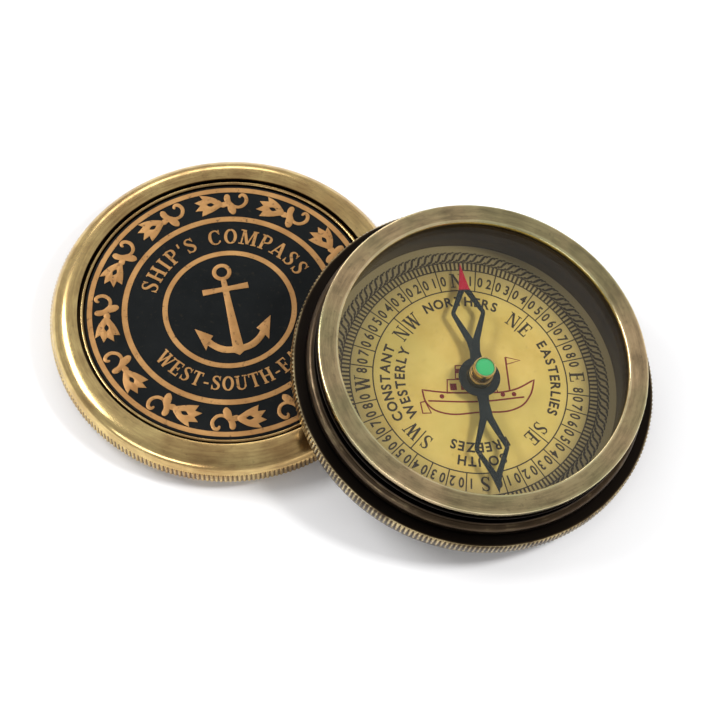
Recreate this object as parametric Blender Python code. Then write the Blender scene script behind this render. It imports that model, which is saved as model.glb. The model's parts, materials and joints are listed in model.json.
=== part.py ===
"""A three-inch brass pocket compass of the ship's pattern, opened. The push-on lid lies face up on the
table, and the case leans on the lid's rim. Metres, +Z up, origin on the table under the middle of the
whole, +X from the lid towards the case."""

import math

import bmesh
import bpy

MM = 0.001
GAP = 0.3 * MM  # air between pieces that touch on the real one

# How the two halves lie
CASE_LEAN = math.radians(10.23)  # the case's axis leans this far towards +X
CASE_REACH = 52.594 * MM  # from the lid's axis to the middle of the case's bottom, along +X

# Lid: radii, and heights above the table
LID_RADIUS = 38.0 * MM
LID_BAND_LOW = 3.0 * MM
LID_BAND_HIGH = 6.0 * MM
LID_CROWN_RADIUS = 33.8 * MM
LID_CROWN_HEIGHT = 8.9 * MM
LID_CROWN_WRAP = 118  # degrees of the crown's arc, from the band over the top to the recess
LID_CEILING = 6.1 * MM
LID_RECESS_RADIUS = 31.8 * MM
LID_RECESS_FLOOR = 6.8 * MM
SLEEVE_OUTER = 35.3 * MM
SLEEVE_INNER = 34.5 * MM
BEAD_OUTER = 31.45 * MM
BEAD_INNER = 30.65 * MM
BEAD_TOP = 8.6 * MM
MEDALLION_RADIUS = 30.3 * MM
MEDALLION_TOP = 8.0 * MM

# Case: radii, and heights above its own flat bottom
FOOT_RADIUS = 33.0 * MM
FLANGE_RADIUS = 38.0 * MM
FLANGE_LOW = 4.0 * MM
FLANGE_TOP = 7.0 * MM
BACK_START = 35  # degrees into the back's arc at the foot, so that it clears the table when it leans
PAN_FLOOR = 0.8 * MM
PAN_LEDGE_RADIUS = 28.0 * MM
PAN_LEDGE_TOP = 1.65 * MM
PAN_WALL_INNER = 32.2 * MM
PAN_WALL_OUTER = 33.0 * MM
PAN_WALL_TOP = 9.6 * MM
RIDGE_RADIUS = 35.4 * MM
RIDGE_TOP = 9.9 * MM
SHOULDER_RADIUS = 34.2 * MM
GROOVE_RADIUS = 33.0 * MM
GROOVE_LOW = 10.3 * MM
COLLAR_LOW = 12.5 * MM
COLLAR_TOP = 13.1 * MM
BEZEL_LOW = COLLAR_TOP + GAP
BEZEL_TOP = 16.3 * MM
BEZEL_RADIUS = 34.2 * MM
BEZEL_OPENING = 30.1 * MM
BEZEL_LIP_LOW = 15.0 * MM
BEZEL_ROUNDING = 0.9 * MM
GLASS_RADIUS = 31.9 * MM
GLASS_LOW = 13.5 * MM
GLASS_TOP = BEZEL_LIP_LOW - GAP
SNAP_RING_RADIUS = 31.5 * MM
SNAP_WIRE_RADIUS = 0.35 * MM
SNAP_RING_HEIGHT = GLASS_LOW - GAP - SNAP_WIRE_RADIUS
SNAP_RING_SPLIT = math.radians(7)
LINER_INNER = 31.2 * MM
LINER_OUTER = 31.9 * MM
LINER_TOP = SNAP_RING_HEIGHT - SNAP_WIRE_RADIUS - GAP
CARD_TOP = 3.05 * MM
CARD_THICKNESS = 0.2 * MM
PLATE_TOP = CARD_TOP - CARD_THICKNESS - GAP
PLATE_THICKNESS = 0.6 * MM

# Pivot and needle: the pivot stands a little off the middle of the dial
PIVOT_OFFSET = 1.2 * MM
POST_RADIUS = 1.1 * MM
POST_BORE = 0.55 * MM
POST_TOP = 6.4 * MM
STUD_RADIUS = 0.75 * MM
STUD_LOW = 1.1 * MM
NUT_RADIUS = 2.2 * MM
PIN_RADIUS = 0.25 * MM
PIN_LOW = 4.2 * MM
PIN_SHOULDER = 8.0 * MM
PIN_TIP = 8.65 * MM
BLADE_LOW = 5.75 * MM
BLADE_TOP = 6.1 * MM
BLADE_RING_OUTER = 4.4 * MM
BLADE_RING_INNER = 2.88 * MM
NECK_HALF_WIDTH = 1.25 * MM
COLLAR_RING_OUTER = 3.6 * MM
COLLAR_RING_HEIGHT = 0.5 * MM
# Each half of the blade: distances from the pivot to where the arms part, spread widest, meet, and end
NORTH_HALF = (8.6 * MM, 14.6 * MM, 20.2 * MM, 26.0 * MM)
SOUTH_HALF = (9.6 * MM, 15.8 * MM, 21.8 * MM, 25.5 * MM)
ARM_SPREAD = 3.9 * MM  # half the blade's greatest width
ARM_WIDTH = 1.1 * MM
TIP_HALF_WIDTH = 0.95 * MM
NEEDLE_BEARING = math.radians(117.2)  # from +X, seen from above the dial
CAP_SKIRT_RADIUS = 2.57 * MM
CAP_RADIUS = 2.3 * MM
CAP_LOW = 4.8 * MM
CAP_SHOULDER = 8.2 * MM
CAP_TOP = 11.0 * MM
CAP_BORE = 1.6 * MM
CAP_ROOF = 9.75 * MM
CAP_DISH_RADIUS = 1.95 * MM
CAP_DISH_FLOOR = 10.35 * MM
JEWEL_LOW = 8.5 * MM
JEWEL_TOP = CAP_ROOF - GAP
JEWEL_CUP_RADIUS = 0.6 * MM
JEWEL_CUP_TOP = 9.0 * MM
ENAMEL_RADIUS = CAP_DISH_RADIUS - GAP

LARGE_STEPS = 64  # facets round the lid and the case, a multiple of four
SMALL_STEPS = 24  # facets round the pivot's pieces


def clear_scene():
    for item in list(bpy.data.objects):
        bpy.data.objects.remove(item)


def finish(name, colour, roughness, metallic, alpha=1.0):
    """A piece's own Principled material."""
    made = bpy.data.materials.new(name)
    made.use_nodes = True
    shader = made.node_tree.nodes["Principled BSDF"]
    shader.inputs["Base Color"].default_value = (*colour, 1.0)
    shader.inputs["Roughness"].default_value = roughness
    shader.inputs["Metallic"].default_value = metallic
    shader.inputs["Alpha"].default_value = alpha
    made.diffuse_color = (*colour, alpha)
    return made


def add_piece(name, mesh, material, parent):
    piece = bpy.data.objects.new(name, mesh)
    mesh.materials.append(material)
    bpy.context.scene.collection.objects.link(piece)
    piece.parent = parent
    return piece


def add_empty(name, location, rotation, parent=None):
    """An axis system that pieces hang from."""
    empty = bpy.data.objects.new(name, None)
    bpy.context.scene.collection.objects.link(empty)
    empty.location = location
    empty.rotation_euler = rotation
    empty.parent = parent
    return empty


def arc(centre, radii, start, end, steps):
    """Profile points (r, z) round an ellipse's arc, angles in degrees from the outward direction."""
    points = []
    for i in range(steps + 1):
        angle = math.radians(start + (end - start) * i / steps)
        points.append((centre[0] + radii[0] * math.cos(angle), centre[1] + radii[1] * math.sin(angle)))
    return points


def spin_profile(profile, steps, sweep=2 * math.pi):
    """A bmesh turned from (r, z) points about Z. A profile that starts on the axis is an open line."""
    bm = bmesh.new()
    verts = [bm.verts.new((r, 0.0, z)) for r, z in profile]
    edges = [bm.edges.new(pair) for pair in zip(verts, verts[1:])]
    if profile[0][0] > 0.0:
        edges.append(bm.edges.new((verts[-1], verts[0])))
    whole = sweep == 2 * math.pi
    bmesh.ops.spin(bm, geom=verts + edges, axis=(0, 0, 1), cent=(0, 0, 0), angle=sweep, steps=steps,
                   use_merge=whole)
    bmesh.ops.remove_doubles(bm, verts=bm.verts, dist=0.001 * MM)
    if not whole:
        bmesh.ops.holes_fill(bm, edges=[e for e in bm.edges if e.is_boundary])
    bmesh.ops.recalc_face_normals(bm, faces=bm.faces)
    return bm


def turned(name, profile, material, parent, steps=LARGE_STEPS, sweep=2 * math.pi, moved=None):
    """A lathe-turned piece, smooth round its axis and sharp at its corners."""
    bm = spin_profile(profile, steps, sweep)
    if moved:
        bmesh.ops.translate(bm, verts=bm.verts, vec=moved)
    mesh = bpy.data.meshes.new(name)
    bm.to_mesh(mesh)
    bm.free()
    mesh.shade_smooth()
    mesh.set_sharp_from_angle(angle=math.radians(35))
    return add_piece(name, mesh, material, parent)


def lid_shell(lid_axis):
    crown = arc((LID_CROWN_RADIUS, LID_BAND_HIGH),
                (LID_RADIUS - LID_CROWN_RADIUS, LID_CROWN_HEIGHT - LID_BAND_HIGH), 0, LID_CROWN_WRAP, 9)
    profile = [
        (0.0, LID_CEILING),
        (SLEEVE_OUTER + GAP, LID_CEILING),
        (SLEEVE_OUTER + GAP, LID_BAND_LOW),
        (LID_RADIUS - GAP, LID_BAND_LOW),
        (LID_RADIUS, LID_BAND_LOW + GAP),
        *crown,
        (LID_RECESS_RADIUS, crown[-1][1]),
        (LID_RECESS_RADIUS, LID_RECESS_FLOOR),
        (0.0, LID_RECESS_FLOOR),
    ]
    turned("lid_shell", profile, finish("polished_brass", (0.60, 0.44, 0.16), 0.28, 1.0), lid_axis)


def lid_sleeve(lid_axis):
    profile = [(SLEEVE_INNER, 0.0), (SLEEVE_OUTER, 0.0),
               (SLEEVE_OUTER, LID_CEILING - GAP), (SLEEVE_INNER, LID_CEILING - GAP)]
    turned("lid_sleeve", profile, finish("sleeve_brass", (0.52, 0.40, 0.18), 0.35, 1.0), lid_axis)


def lid_bead_ring(lid_axis):
    half = (BEAD_OUTER - BEAD_INNER) / 2
    bead = arc((BEAD_INNER + half, BEAD_TOP - half), (half, half), 0, 180, 6)
    low = LID_RECESS_FLOOR + GAP
    profile = [(BEAD_INNER, low), (BEAD_OUTER, low), *bead]
    turned("lid_bead_ring", profile, finish("bead_brass", (0.62, 0.46, 0.18), 0.25, 1.0), lid_axis)


def lid_medallion(lid_axis):
    low = LID_RECESS_FLOOR + GAP
    profile = [(0.0, low), (MEDALLION_RADIUS, low), (MEDALLION_RADIUS, MEDALLION_TOP),
               (0.0, MEDALLION_TOP)]
    turned("lid_medallion", profile, finish("black_japan", (0.015, 0.018, 0.02), 0.35, 0.0), lid_axis)


def base_pan(case_axis):
    spread = (FLANGE_RADIUS - FOOT_RADIUS) / (1 - math.sin(math.radians(BACK_START)))
    drop = FLANGE_LOW / math.cos(math.radians(BACK_START))
    back = arc((FLANGE_RADIUS - spread, FLANGE_LOW), (spread, drop), BACK_START - 90, 0, 4)
    profile = [
        (0.0, 0.0),
        *back,
        (FLANGE_RADIUS, FLANGE_TOP - GAP),
        (FLANGE_RADIUS - GAP, FLANGE_TOP),
        (PAN_WALL_OUTER, FLANGE_TOP),
        (PAN_WALL_OUTER, PAN_WALL_TOP),
        (PAN_WALL_INNER, PAN_WALL_TOP),
        (PAN_WALL_INNER, PAN_LEDGE_TOP),
        (PAN_LEDGE_RADIUS, PAN_LEDGE_TOP),
        (PAN_LEDGE_RADIUS, PAN_FLOOR),
        (0.0, PAN_FLOOR),
    ]
    turned("base_pan", profile, finish("antique_brass", (0.30, 0.22, 0.11), 0.38, 1.0), case_axis)


def neck_ring(case_axis):
    """Sits on the flange outside the pan's wall, and steps in over that wall's top edge."""
    low = FLANGE_TOP + GAP
    outer_bore = PAN_WALL_OUTER + GAP
    step = PAN_WALL_TOP + GAP
    ridge = arc((SHOULDER_RADIUS, RIDGE_TOP - (RIDGE_RADIUS - SHOULDER_RADIUS)),
                (RIDGE_RADIUS - SHOULDER_RADIUS, RIDGE_RADIUS - SHOULDER_RADIUS), 0, 90, 4)
    profile = [
        (outer_bore, low),
        (RIDGE_RADIUS, low),
        *ridge,
        (SHOULDER_RADIUS, GROOVE_LOW),
        (GROOVE_RADIUS, GROOVE_LOW),
        (GROOVE_RADIUS, COLLAR_LOW),
        (BEZEL_RADIUS, COLLAR_LOW),
        (BEZEL_RADIUS, COLLAR_TOP),
        (PAN_WALL_INNER, COLLAR_TOP),
        (PAN_WALL_INNER, step),
        (outer_bore, step),
    ]
    turned("neck_ring", profile, finish("dark_brass", (0.20, 0.14, 0.07), 0.40, 1.0), case_axis)


def bezel(case_axis):
    outer = arc((BEZEL_RADIUS - BEZEL_ROUNDING, BEZEL_TOP - BEZEL_ROUNDING),
                (BEZEL_ROUNDING, BEZEL_ROUNDING), 0, 90, 4)
    inner = arc((BEZEL_OPENING + BEZEL_ROUNDING, BEZEL_TOP - BEZEL_ROUNDING),
                (BEZEL_ROUNDING, BEZEL_ROUNDING), 90, 180, 4)
    profile = [
        (PAN_WALL_INNER, BEZEL_LOW),
        (BEZEL_RADIUS, BEZEL_LOW),
        *outer,
        *inner,
        (BEZEL_OPENING, BEZEL_LIP_LOW),
        (PAN_WALL_INNER, BEZEL_LIP_LOW),
    ]
    turned("bezel", profile, finish("bezel_brass", (0.36, 0.28, 0.16), 0.32, 1.0), case_axis)


def glass(case_axis):
    profile = [(0.0, GLASS_LOW), (GLASS_RADIUS, GLASS_LOW), (GLASS_RADIUS, GLASS_TOP), (0.0, GLASS_TOP)]
    turned("glass", profile, finish("window_glass", (0.95, 0.97, 0.96), 0.03, 0.0, 0.2), case_axis)


def glass_snap_ring(case_axis):
    """Round spring wire, split so that it can be sprung in under the glass."""
    profile = arc((SNAP_RING_RADIUS, SNAP_RING_HEIGHT), (SNAP_WIRE_RADIUS, SNAP_WIRE_RADIUS), 0, 315, 7)
    turned("glass_snap_ring", profile, finish("spring_wire", (0.35, 0.33, 0.30), 0.4, 1.0), case_axis,
           sweep=2 * math.pi - SNAP_RING_SPLIT)


def spacer_sleeve(case_axis):
    low = CARD_TOP + GAP
    profile = [(LINER_INNER, low), (LINER_OUTER, low), (LINER_OUTER, LINER_TOP), (LINER_INNER, LINER_TOP)]
    turned("spacer_sleeve", profile, finish("liner_brown", (0.10, 0.08, 0.06), 0.55, 0.6), case_axis)


def pierced_disc(name, low, top, material, case_axis, hole):
    """A thin disc with a round hole where the pivot goes through. The bore is sunk by a cutter."""
    disc = turned(name, [(0.0, low), (LINER_OUTER, low), (LINER_OUTER, top), (0.0, top)], material,
                  case_axis)
    cut = turned(name + "_cutter", [(0.0, low - GAP), (hole, low - GAP), (hole, top + GAP), (0.0, top + GAP)],
                 material, case_axis, SMALL_STEPS, moved=(PIVOT_OFFSET, 0, 0))
    cut.hide_render = True
    cut.display_type = "WIRE"
    bore = disc.modifiers.new("pivot hole", "BOOLEAN")
    bore.operation = "DIFFERENCE"
    bore.object = cut


def dial_card(case_axis):
    pierced_disc("dial_card", CARD_TOP - CARD_THICKNESS, CARD_TOP,
                 finish("aged_paper", (0.62, 0.46, 0.16), 0.7, 0.0), case_axis, STUD_RADIUS + GAP)


def dial_plate(case_axis):
    pierced_disc("dial_plate", PLATE_TOP - PLATE_THICKNESS, PLATE_TOP,
                 finish("plate_brass", (0.50, 0.38, 0.16), 0.45, 1.0), case_axis, STUD_RADIUS + GAP)


def pivot_post(pivot_axis):
    """Stands on the card by its flange. A stud goes down through card and plate to washer and nut."""
    flange_low = CARD_TOP + GAP
    flange_top = flange_low + 0.5 * MM
    profile = [
        (0.0, STUD_LOW),
        (STUD_RADIUS, STUD_LOW),
        (STUD_RADIUS, flange_low),
        (2 * POST_RADIUS, flange_low),
        (2 * POST_RADIUS, flange_top),
        (POST_RADIUS, flange_top),
        (POST_RADIUS, POST_TOP),
        (POST_BORE, POST_TOP),
        (POST_BORE, PIN_LOW - GAP),
        (0.0, PIN_LOW - GAP),
    ]
    turned("pivot_post", profile, finish("post_brass", (0.55, 0.42, 0.18), 0.35, 1.0), pivot_axis,
           SMALL_STEPS)


def pivot_pin(pivot_axis):
    """A hard steel point, held in the post's bore."""
    profile = [(0.0, PIN_LOW), (PIN_RADIUS, PIN_LOW), (PIN_RADIUS, PIN_SHOULDER), (0.0, PIN_TIP)]
    turned("pivot_pin", profile, finish("point_steel", (0.5, 0.5, 0.52), 0.2, 1.0), pivot_axis, 12)


def pivot_nut(pivot_axis):
    hole = (STUD_RADIUS + GAP) / math.cos(math.pi / 6)
    top = PLATE_TOP - PLATE_THICKNESS - GAP
    profile = [(hole, STUD_LOW), (NUT_RADIUS, STUD_LOW), (NUT_RADIUS, top), (hole, top)]
    turned("pivot_nut", profile, finish("nut_brass", (0.5, 0.38, 0.17), 0.4, 1.0), pivot_axis, 6)


def blade_half(part, widest, meet, end):
    """The outline of one pierced half along +Y, from its neck round the tip and back, and its opening."""
    neck_foot = math.sqrt(BLADE_RING_OUTER ** 2 - NECK_HALF_WIDTH ** 2)
    side = [(NECK_HALF_WIDTH, neck_foot), (NECK_HALF_WIDTH * 1.15, part - ARM_WIDTH / 2),
            (ARM_SPREAD, widest), (TIP_HALF_WIDTH, meet)]
    outline = side + [(0.0, end)] + [(-x, y) for x, y in reversed(side)]
    opening = [(0.0, part), (ARM_SPREAD - ARM_WIDTH, widest), (0.0, meet - ARM_WIDTH / 2),
               (ARM_WIDTH - ARM_SPREAD, widest)]
    return outline, opening


def ring_side(steps):
    """The ring's outer edge from the south neck up to the north neck, on the -X side."""
    neck = math.asin(NECK_HALF_WIDTH / BLADE_RING_OUTER)
    start = math.pi / 2 + neck
    sweep = math.pi - 2 * neck
    return [(BLADE_RING_OUTER * math.cos(start + sweep * i / steps),
             BLADE_RING_OUTER * math.sin(start + sweep * i / steps)) for i in range(1, steps)]


def needle_blade(needle_axis):
    """Pierced sheet steel, cut from one outline with a round hole and two lozenge openings."""
    north, north_opening = blade_half(*NORTH_HALF)
    south, south_opening = blade_half(*SOUTH_HALF)
    left = ring_side(10)
    outline = north + left + [(-x, -y) for x, y in south] + [(-x, -y) for x, y in left]
    turn = 2 * math.pi / SMALL_STEPS
    hole = [(BLADE_RING_INNER * math.cos(i * turn), BLADE_RING_INNER * math.sin(i * turn))
            for i in range(SMALL_STEPS)]
    curve = bpy.data.curves.new("needle_blade", "CURVE")
    curve.dimensions = "2D"
    curve.fill_mode = "BOTH"
    curve.extrude = (BLADE_TOP - BLADE_LOW) / 2
    for points in (outline, hole, north_opening, [(-x, -y) for x, y in south_opening]):
        spline = curve.splines.new("POLY")
        spline.points.add(len(points) - 1)
        for point, (x, y) in zip(spline.points, points):
            point.co = (x, y, 0.0, 1.0)
        spline.use_cyclic_u = True
    blade = add_piece("needle_blade", curve, finish("blued_steel", (0.03, 0.04, 0.055), 0.35, 0.8),
                      needle_axis)
    blade.location.z = (BLADE_TOP + BLADE_LOW) / 2


def needle_collar(needle_axis):
    inner = CAP_SKIRT_RADIUS + GAP
    top = BLADE_LOW - GAP
    low = top - COLLAR_RING_HEIGHT
    profile = [(inner, low), (COLLAR_RING_OUTER, low), (COLLAR_RING_OUTER, top), (inner, top)]
    turned("needle_collar", profile, finish("collar_brass", (0.5, 0.38, 0.16), 0.35, 1.0), needle_axis,
           SMALL_STEPS)


def needle_cap(needle_axis):
    profile = [
        (0.0, CAP_ROOF),
        (CAP_BORE, CAP_ROOF),
        (CAP_BORE, CAP_LOW),
        (CAP_SKIRT_RADIUS, CAP_LOW),
        (CAP_SKIRT_RADIUS, CAP_SHOULDER),
        (CAP_RADIUS, CAP_SHOULDER + GAP),
        (CAP_RADIUS, CAP_TOP),
        (CAP_DISH_RADIUS, CAP_TOP),
        (CAP_DISH_RADIUS, CAP_DISH_FLOOR),
        (0.0, CAP_DISH_FLOOR),
    ]
    turned("needle_cap", profile, finish("cap_brass", (0.72, 0.52, 0.20), 0.22, 1.0), needle_axis,
           SMALL_STEPS)


def cap_jewel(needle_axis):
    """The bearing: a disc with a conical cup underneath, which the point stands in."""
    rim = CAP_BORE - GAP
    profile = [(0.0, JEWEL_CUP_TOP), (JEWEL_CUP_RADIUS, JEWEL_LOW), (rim, JEWEL_LOW), (rim, JEWEL_TOP),
               (0.0, JEWEL_TOP)]
    turned("cap_jewel", profile, finish("agate", (0.45, 0.16, 0.12), 0.15, 0.0), needle_axis, 16)


def cap_enamel(needle_axis):
    low = CAP_DISH_FLOOR + GAP
    edge = CAP_TOP - GAP / 2
    profile = [(0.0, low), (ENAMEL_RADIUS, low), (ENAMEL_RADIUS, edge), (0.7 * ENAMEL_RADIUS, CAP_TOP),
               (0.0, CAP_TOP)]
    turned("cap_enamel", profile, finish("green_enamel", (0.03, 0.45, 0.16), 0.15, 0.0), needle_axis,
           SMALL_STEPS)


def build_lid(lid_axis):
    for make in (lid_shell, lid_sleeve, lid_bead_ring, lid_medallion):
        make(lid_axis)


def build_case(case_axis, pivot_axis):
    for make in (base_pan, neck_ring, bezel, glass, glass_snap_ring, spacer_sleeve, dial_card, dial_plate):
        make(case_axis)
    for make in (pivot_post, pivot_pin, pivot_nut):
        make(pivot_axis)


def build_needle(needle_axis):
    for make in (needle_blade, needle_collar, needle_cap, cap_jewel, cap_enamel):
        make(needle_axis)


def main():
    clear_scene()
    far_edge = (CASE_REACH + FLANGE_RADIUS * math.cos(CASE_LEAN)
                + (FLANGE_TOP - GAP) * math.sin(CASE_LEAN))
    lid_x = (LID_RADIUS - far_edge) / 2
    lid_axis = add_empty("lid_axis", (lid_x, 0, 0), (0, 0, 0))
    case_axis = add_empty("case_axis", (lid_x + CASE_REACH, 0, FOOT_RADIUS * math.sin(CASE_LEAN)),
                          (0, CASE_LEAN, 0))
    pivot_axis = add_empty("pivot_axis", (PIVOT_OFFSET, 0, 0), (0, 0, 0), case_axis)
    needle_axis = add_empty("needle_axis", (0, 0, 0), (0, 0, NEEDLE_BEARING - math.pi / 2), pivot_axis)
    build_lid(lid_axis)
    build_case(case_axis, pivot_axis)
    build_needle(needle_axis)


main()
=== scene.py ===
import json
import math

import bmesh
import bpy
from mathutils import Matrix, Vector


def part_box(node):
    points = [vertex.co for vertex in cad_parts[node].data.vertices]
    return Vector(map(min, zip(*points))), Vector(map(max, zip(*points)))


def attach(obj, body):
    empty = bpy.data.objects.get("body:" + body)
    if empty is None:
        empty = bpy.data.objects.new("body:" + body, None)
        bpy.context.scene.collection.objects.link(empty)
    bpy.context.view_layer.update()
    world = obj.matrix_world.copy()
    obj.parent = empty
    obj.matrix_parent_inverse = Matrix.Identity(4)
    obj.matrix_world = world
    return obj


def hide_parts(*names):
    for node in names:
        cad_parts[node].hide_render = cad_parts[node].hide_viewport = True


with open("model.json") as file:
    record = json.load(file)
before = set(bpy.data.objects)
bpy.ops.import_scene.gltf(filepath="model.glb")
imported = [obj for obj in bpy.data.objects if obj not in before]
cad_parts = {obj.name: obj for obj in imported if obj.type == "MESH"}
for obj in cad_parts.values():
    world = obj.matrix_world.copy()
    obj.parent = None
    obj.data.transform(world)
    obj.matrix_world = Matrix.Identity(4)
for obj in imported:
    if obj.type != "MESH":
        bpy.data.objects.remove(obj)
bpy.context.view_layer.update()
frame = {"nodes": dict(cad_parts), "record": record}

# The place: a pale table under soft studio light. Nothing here is part of the compass. The table is
# matt white, the room round it is bright at the sides and dimmer overhead, where the camera stands,
# and the large soft boxes give the brass its long highlights.
MM = 0.001
VIEW_AZIMUTH = math.radians(17.16)
VIEW_ELEVATION = math.radians(62.01)
VIEW_ROLL = math.radians(1.77)
VIEW_DISTANCE = 460.2 * MM
VIEW_TARGET = Vector((1.98, 1.49, 0.0)) * MM
VIEW_LENS = 108.4
TABLE_SIZE = 6.0
TABLE_DROP = 0.02 * MM  # the table's top lies this far below the compass, so that the two don't flicker
TABLE_WHITE = (0.93, 0.93, 0.94)
ROOM_SHADES = ((0.95, 0.95, 0.95), (0.72, 0.715, 0.71), (0.72, 0.71, 0.70))  # below, level and overhead
BOXES = {  # soft boxes: where each stands, its width and height, and its power in watts
    "key_box": ((0.32, 0.055, 0.42), (0.10, 0.10), 1.55),
    "left_box": ((-0.33, 0.0, 0.37), (0.26, 0.09), 1.15),
    "front_box": ((-0.16, -0.46, 0.20), (0.40, 0.07), 0.50),
    "back_box": ((-0.30, 0.44, 0.30), (0.34, 0.10), 0.42),
}


def new_material(name, plain):
    """A node material and its shader, with the plain values set on the shader's inputs."""
    material = bpy.data.materials.new(name)
    material.use_nodes = True
    shader = material.node_tree.nodes["Principled BSDF"]
    for label, value in plain.items():
        shader.inputs[label].default_value = value
    return material, shader


def add_node(tree, kind, inputs=None, **settings):
    """One shader node, with its settings and its inputs, each a value or another node's socket."""
    node = tree.nodes.new("ShaderNode" + kind)
    for key, value in settings.items():
        setattr(node, key, value)
    for key, value in (inputs or {}).items():
        if isinstance(value, bpy.types.NodeSocket):
            tree.links.new(value, node.inputs[key])
        else:
            node.inputs[key].default_value = value
    return node


def reckon(tree, operation, *values, use_clamp=False):
    """The result of a sum on values or sockets."""
    node = add_node(tree, "Math", dict(enumerate(values)), operation=operation, use_clamp=use_clamp)
    return node.outputs[0]


def spread(tree, value, least, most, low=0.0, high=1.0):
    """A value between least and most, mapped to between low and high."""
    return add_node(tree, "MapRange", {"Value": value, "From Min": least, "From Max": most,
                                       "To Min": low, "To Max": high}).outputs[0]


camera = bpy.data.objects.new("camera", bpy.data.cameras.new("camera"))
bpy.context.scene.collection.objects.link(camera)
camera.data.lens = VIEW_LENS
camera.data.sensor_width = 36.0
camera.data.clip_start = 0.01
view_turn = (Matrix.Rotation(VIEW_AZIMUTH, 4, "Z") @ Matrix.Rotation(math.pi / 2 - VIEW_ELEVATION, 4, "X")
             @ Matrix.Rotation(VIEW_ROLL, 4, "Z"))
view_place = VIEW_TARGET + view_turn.to_3x3() @ Vector((0, 0, VIEW_DISTANCE))
camera.matrix_world = Matrix.Translation(view_place) @ view_turn
bpy.context.scene.camera = camera
bpy.context.scene.view_settings.view_transform = "Standard"

table_mesh = bmesh.new()
bmesh.ops.create_grid(table_mesh, x_segments=8, y_segments=8, size=TABLE_SIZE / 2)
bmesh.ops.translate(table_mesh, verts=table_mesh.verts, vec=(0, 0, -TABLE_DROP))
table = bpy.data.objects.new("table", bpy.data.meshes.new("table"))
table_mesh.to_mesh(table.data)
table_mesh.free()
bpy.context.scene.collection.objects.link(table)
table_paint, _ = new_material("table_white", {"Base Color": (*TABLE_WHITE, 1), "Roughness": 0.9,
                                              "Specular IOR Level": 0.1})
table.data.materials.append(table_paint)

for box_name, (stand, (wide, high), watts) in BOXES.items():
    lamp = bpy.data.lights.new(box_name, "AREA")
    lamp.shape = "RECTANGLE"
    lamp.size = wide
    lamp.size_y = high
    lamp.energy = watts
    box = bpy.data.objects.new(box_name, lamp)
    box.location = stand
    box.rotation_euler = (-Vector(stand)).to_track_quat("-Z", "Y").to_euler()
    box.visible_glossy = box_name != "key_box"  # the key lights the card and casts the shadows only
    bpy.context.scene.collection.objects.link(box)

room = bpy.data.worlds.new("studio")
bpy.context.scene.world = room
room.use_nodes = True
room_tree = room.node_tree
room_way = add_node(room_tree, "TexCoord")
room_parts = add_node(room_tree, "SeparateXYZ", {0: room_way.outputs["Generated"]})
room_ramp = add_node(room_tree, "ValToRGB", {0: room_parts.outputs["Z"]})
room_ramp.color_ramp.elements.new(0.5)
for stop, shade in zip(room_ramp.color_ramp.elements, ROOM_SHADES):
    stop.color = (*shade, 1)
room_depth = spread(room_tree, room_parts.outputs["Y"], -0.6, 0.5, 0.62, 0.84)
room_sky = room_tree.nodes["Background"]
room_tree.links.new(room_ramp.outputs["Color"], room_sky.inputs["Color"])
room_tree.links.new(room_depth, room_sky.inputs["Strength"])

# The lid's shell: a cap turned from brass bar, with a domed rim, a milled band round its edge and a
# flat recess for the medallion. It is polished on the rim, where hands hold it, and dull elsewhere.
lid_low, lid_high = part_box("lid_shell")
LID_PLACE = Matrix.Translation(((lid_low[0] + lid_high[0]) / 2, (lid_low[1] + lid_high[1]) / 2, 0.0))
LID_RADIUS = 38.0 * MM
LID_TEETH = 248
TOOTH_DEPTH = 0.26 * MM
STEPS_PER_TOOTH = 4
FINE_STEPS = 256
STREAK_STRETCH = 0.004  # how slowly the lathe's streaks change along their arcs
TARNISH_PATTERNS = {  # a pattern's scale, detail and roughness, and the noise that it spreads over 0 to 1
    "Stain": (48.0, 4.0, 0.55, 0.40, 0.62),
    "Cloud": (130.0, 5.0, 0.62, 0.30, 0.70),
    "Spots": (900.0, 3.0, 0.7, 0.60, 0.74),
    "Grain": (3800.0, 2.0, 0.5, 0.0, 1.0),
}


def arc(centre, radii, start, end, steps, wear_and_light):
    """Profile points (r, z, wear_and_light) round an ellipse's arc, angles in degrees from straight out."""
    points = []
    for i in range(steps + 1):
        angle = math.radians(start + (end - start) * i / steps)
        r = centre[0] + radii[0] * math.cos(angle)
        z = centre[1] + radii[1] * math.sin(angle)
        points.append((r, z, wear_and_light))
    return points


def turn(profile, steps):
    """A bmesh turned about Z from a profile of (r, z, wear_and_light) in mm. That value is 0 in a recess,
    darkened as patina and painted shade, and 1 where the piece is worn bright or painted with a highlight."""
    bm = bmesh.new()
    wear_and_light_layer = bm.verts.layers.float.new("wear_and_light")
    verts = []
    for r, z, wear_and_light in profile:
        vert = bm.verts.new((r * MM, 0.0, z * MM))
        vert[wear_and_light_layer] = wear_and_light
        verts.append(vert)
    edges = [bm.edges.new(pair) for pair in zip(verts, verts[1:])]
    if profile[0][0] > 0.0:
        edges.append(bm.edges.new((verts[-1], verts[0])))
    bmesh.ops.spin(bm, geom=verts + edges, axis=(0, 0, 1), cent=(0, 0, 0), angle=2 * math.pi, steps=steps,
                   use_merge=True)
    bmesh.ops.remove_doubles(bm, verts=bm.verts, dist=0.0005 * MM)
    bmesh.ops.recalc_face_normals(bm, faces=bm.faces)
    return bm


def mill(bm, radius, low, high, teeth, depth, dull=0.9):
    """Cuts straight teeth into the band of that radius, between two heights, and dulls their roots as patina
    and painted shade.
    """
    wear_and_light_layer = bm.verts.layers.float["wear_and_light"]
    for vert in bm.verts:
        out = math.hypot(vert.co.x, vert.co.y)
        if out < radius - 0.05 * MM or not low <= vert.co.z <= high:
            continue
        place = math.atan2(vert.co.y, vert.co.x) / (2 * math.pi) * teeth
        cut = 1.0 - abs(2.0 * (place - math.floor(place)) - 1.0)
        vert.co.xy *= 1.0 - depth * cut / out
        vert[wear_and_light_layer] = 0.95 - dull * cut


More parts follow.
